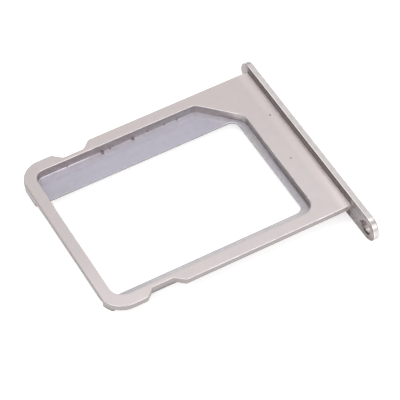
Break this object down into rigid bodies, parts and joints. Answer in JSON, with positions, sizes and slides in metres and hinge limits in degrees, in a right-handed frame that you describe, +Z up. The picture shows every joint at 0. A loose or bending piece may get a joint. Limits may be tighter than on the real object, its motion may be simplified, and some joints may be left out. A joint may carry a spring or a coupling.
{
  "type": "sim card tray",
  "caption": "Flat metal tray with a cut-cornered card pocket over an open window, detent notches on both sides and a round-ended face plate with a release pin hole.",
  "frame": {"origin": "under the middle of the whole tray, level with the lowest edge of the face plate", "axes": "+X from the leading end to the face plate, +Z up out of the card pocket, +Y across the tray, away from the end of the face plate that has the pin hole"},
  "size_m": [0.0188, 0.0178, 0.002],
  "materials": {
    "satin_steel": "satin, bead-blasted after moulding, with a polished face plate edge"
  },
  "bodies": {
    "root": {"sim_tray": "satin_steel"}
  },
  "joints": []
}
